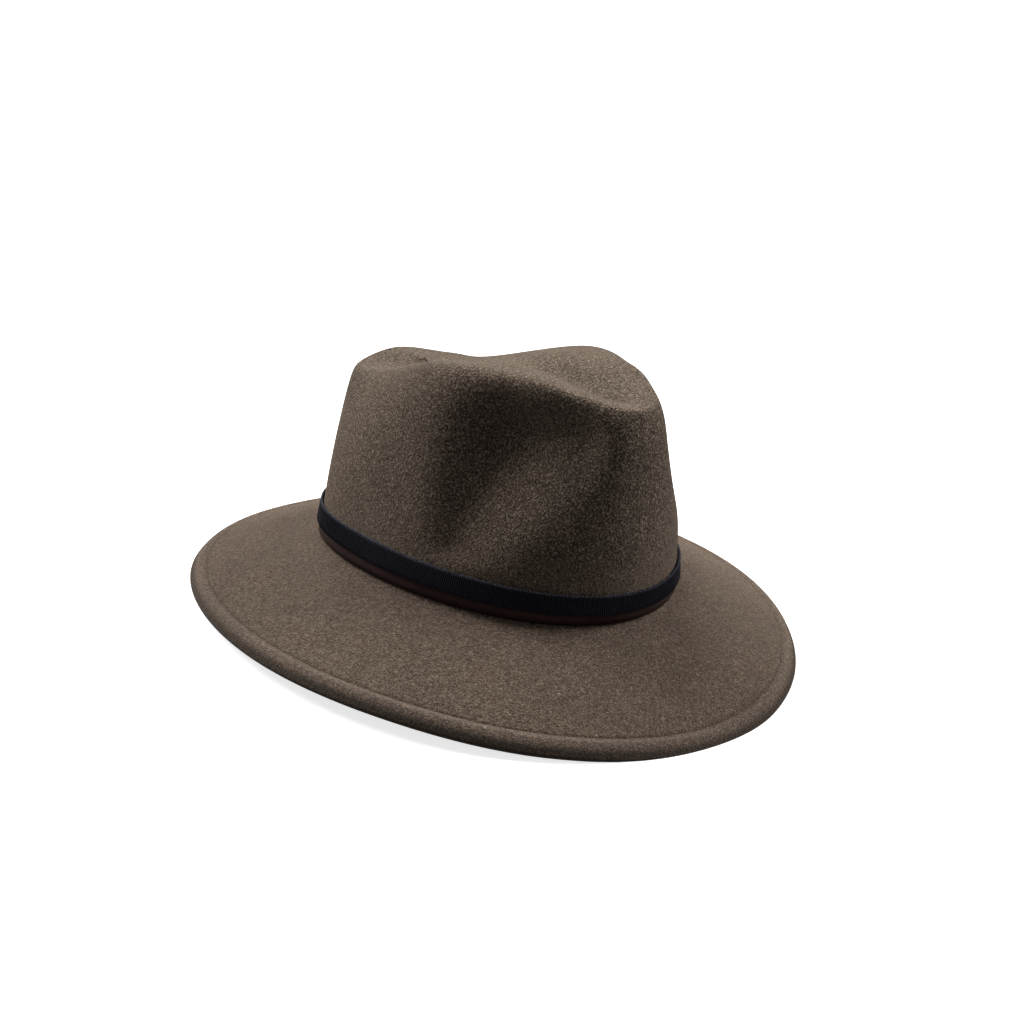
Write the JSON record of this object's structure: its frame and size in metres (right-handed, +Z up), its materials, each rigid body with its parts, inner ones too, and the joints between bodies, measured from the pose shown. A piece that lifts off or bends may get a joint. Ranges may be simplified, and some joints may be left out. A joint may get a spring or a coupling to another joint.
{
  "type": "felt fedora hat",
  "caption": "Felt fedora with a creased and pinched crown, a sloping brim with a turned edge, and a leather and ribbed ribbon band",
  "frame": {"origin": "on the surface under the middle of the hat's outline, at the height of the brim's lowest lips", "axes": "+Z up, -Y towards the front of the hat, X across it"},
  "size_m": [0.3144, 0.348, 0.1491],
  "materials": {
    "felt": "matte wool felt",
    "leather": "smooth satin leather",
    "ribbon": "ribbed woven ribbon"
  },
  "bodies": {
    "root": {"felt_body": "felt", "leather_band": "leather", "grosgrain_ribbon": "ribbon"}
  },
  "joints": []
}
